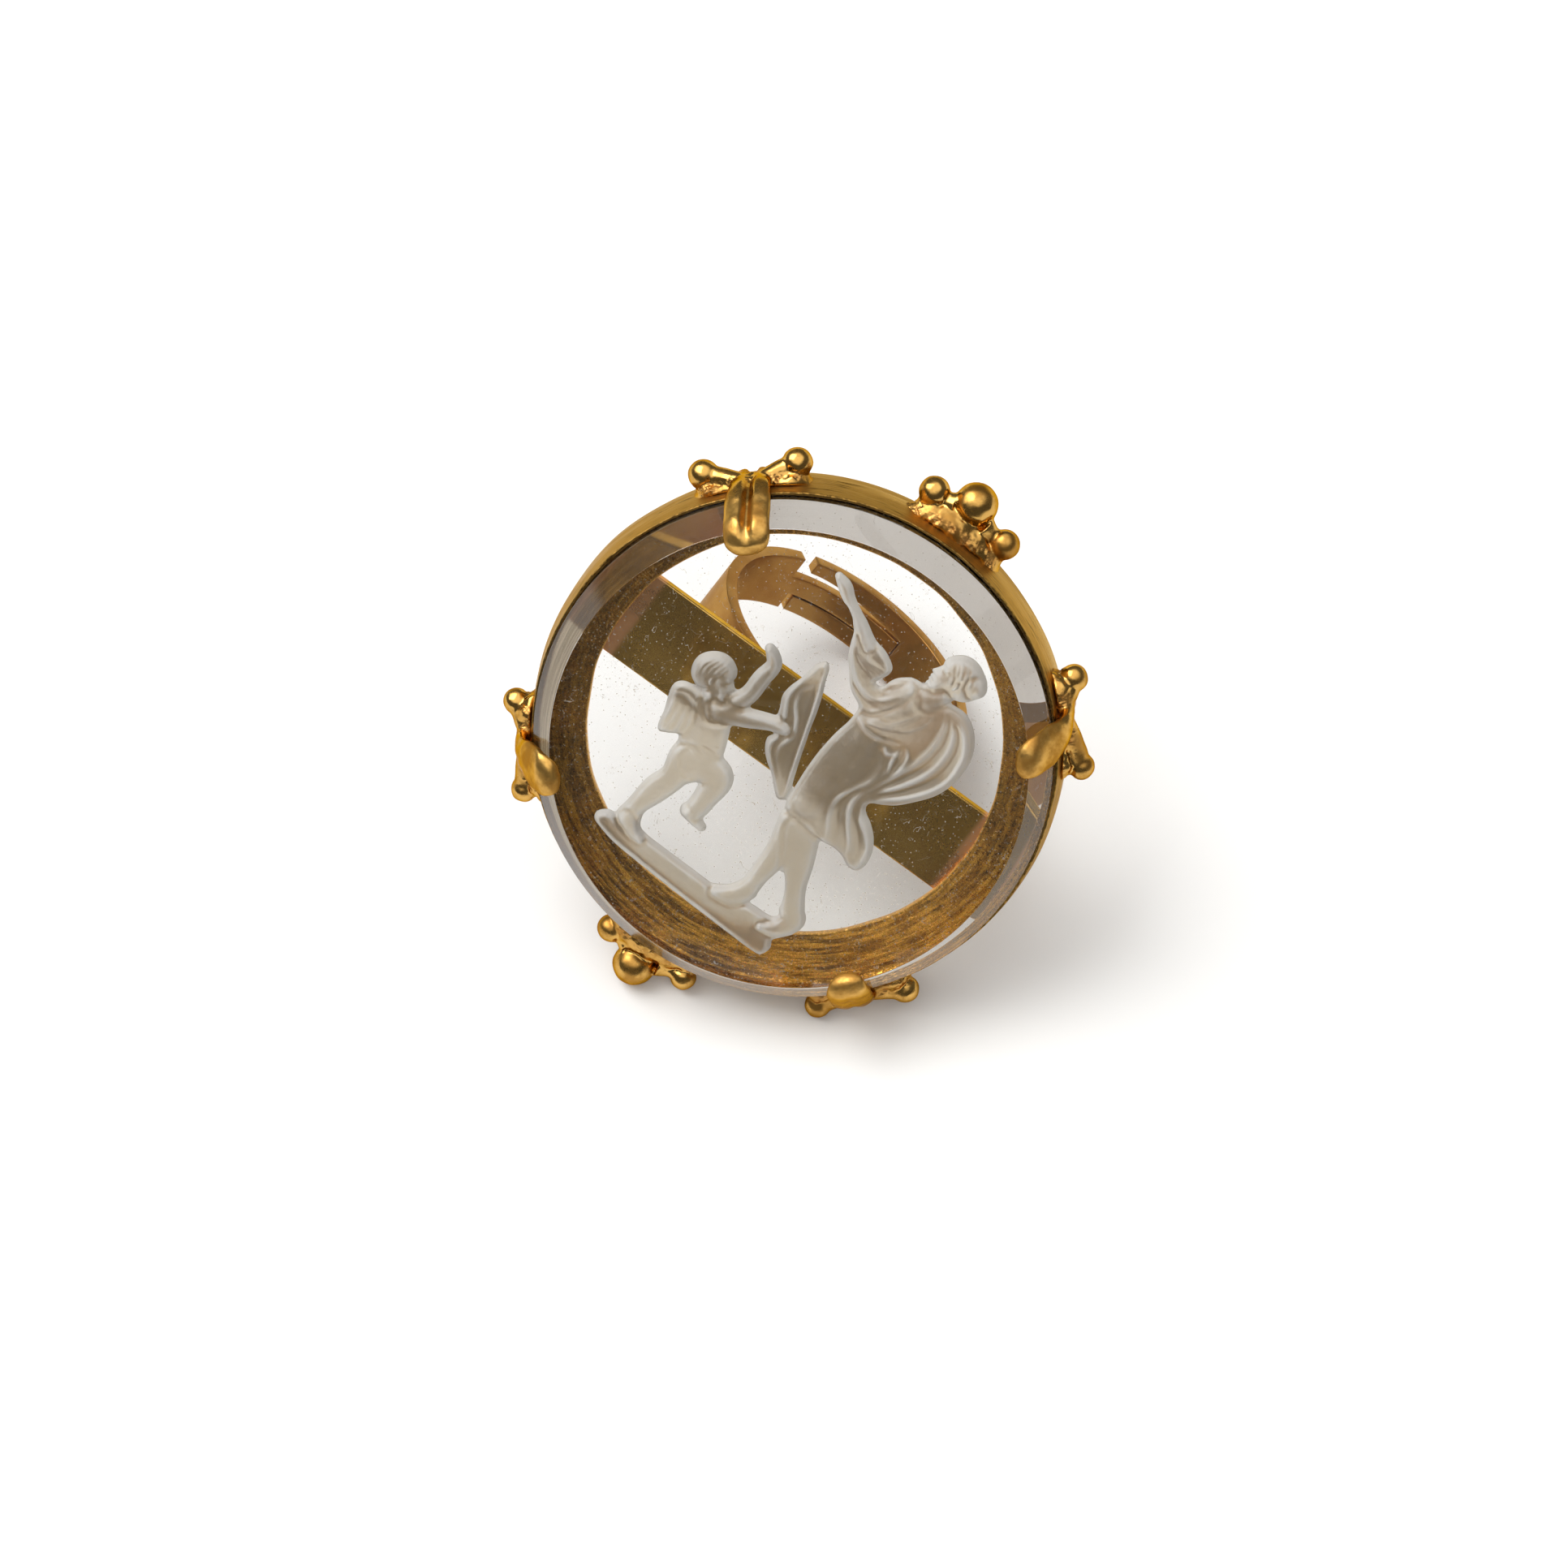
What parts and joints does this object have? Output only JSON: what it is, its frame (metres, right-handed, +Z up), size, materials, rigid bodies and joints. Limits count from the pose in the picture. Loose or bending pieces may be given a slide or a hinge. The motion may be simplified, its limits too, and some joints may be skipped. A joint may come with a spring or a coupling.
{
  "type": "cameo ring",
  "caption": "Finger ring with frosted relief figures on a round bevelled crystal, held by claws in an open-backed gold setting with granules, a flat crossbar and an adjustable shank.",
  "frame": {"origin": "centre of the finger bore", "axes": "+Z up as the ring lies by itself on a flat surface, -Y the side that the crystal's face looks up and towards, +X along the ring's longest extent"},
  "size_m": [0.0372, 0.0322, 0.0292],
  "materials": {
    "gold_setting": "satin, brushed by hand, with darker solder",
    "crystal": "polished, clear, with fine scratches",
    "cameo_figures": "frosted, pearly"
  },
  "bodies": {
    "root": {"gold_setting": "gold_setting", "crystal": "crystal", "cameo_figures": "cameo_figures"}
  },
  "joints": []
}
